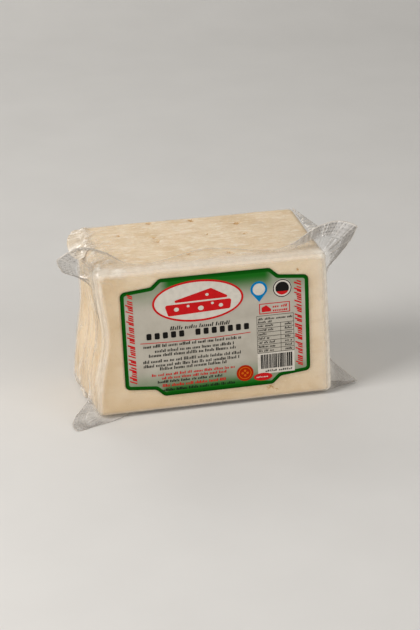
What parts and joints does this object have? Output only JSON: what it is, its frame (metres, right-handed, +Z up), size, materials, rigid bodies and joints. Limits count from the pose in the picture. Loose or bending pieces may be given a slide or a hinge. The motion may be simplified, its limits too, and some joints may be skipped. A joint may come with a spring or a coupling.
{
  "type": "vacuum-packed white cheese block",
  "caption": "Block of white brined cheese sealed in clear film, with a folded-back weld rim, corner ears and a plain printed front label.",
  "frame": {"origin": "on the table, at the middle of the whole pack's outline seen from above, ears included", "axes": "+X along the block towards its right end, the labelled front face looks to -Y, +Z up"},
  "size_m": [0.1816, 0.0747, 0.1078],
  "materials": {
    "cheese": "moist cream-white cheese under tight clear film",
    "film": "clear glossy film, hazy where it is welded",
    "label": "satin silver-white print with a green border"
  },
  "bodies": {
    "root": {"sealed_block": "cheese", "seal_rim": "film", "right_fold": "film", "left_fold": "film", "label": "label"}
  },
  "joints": []
}
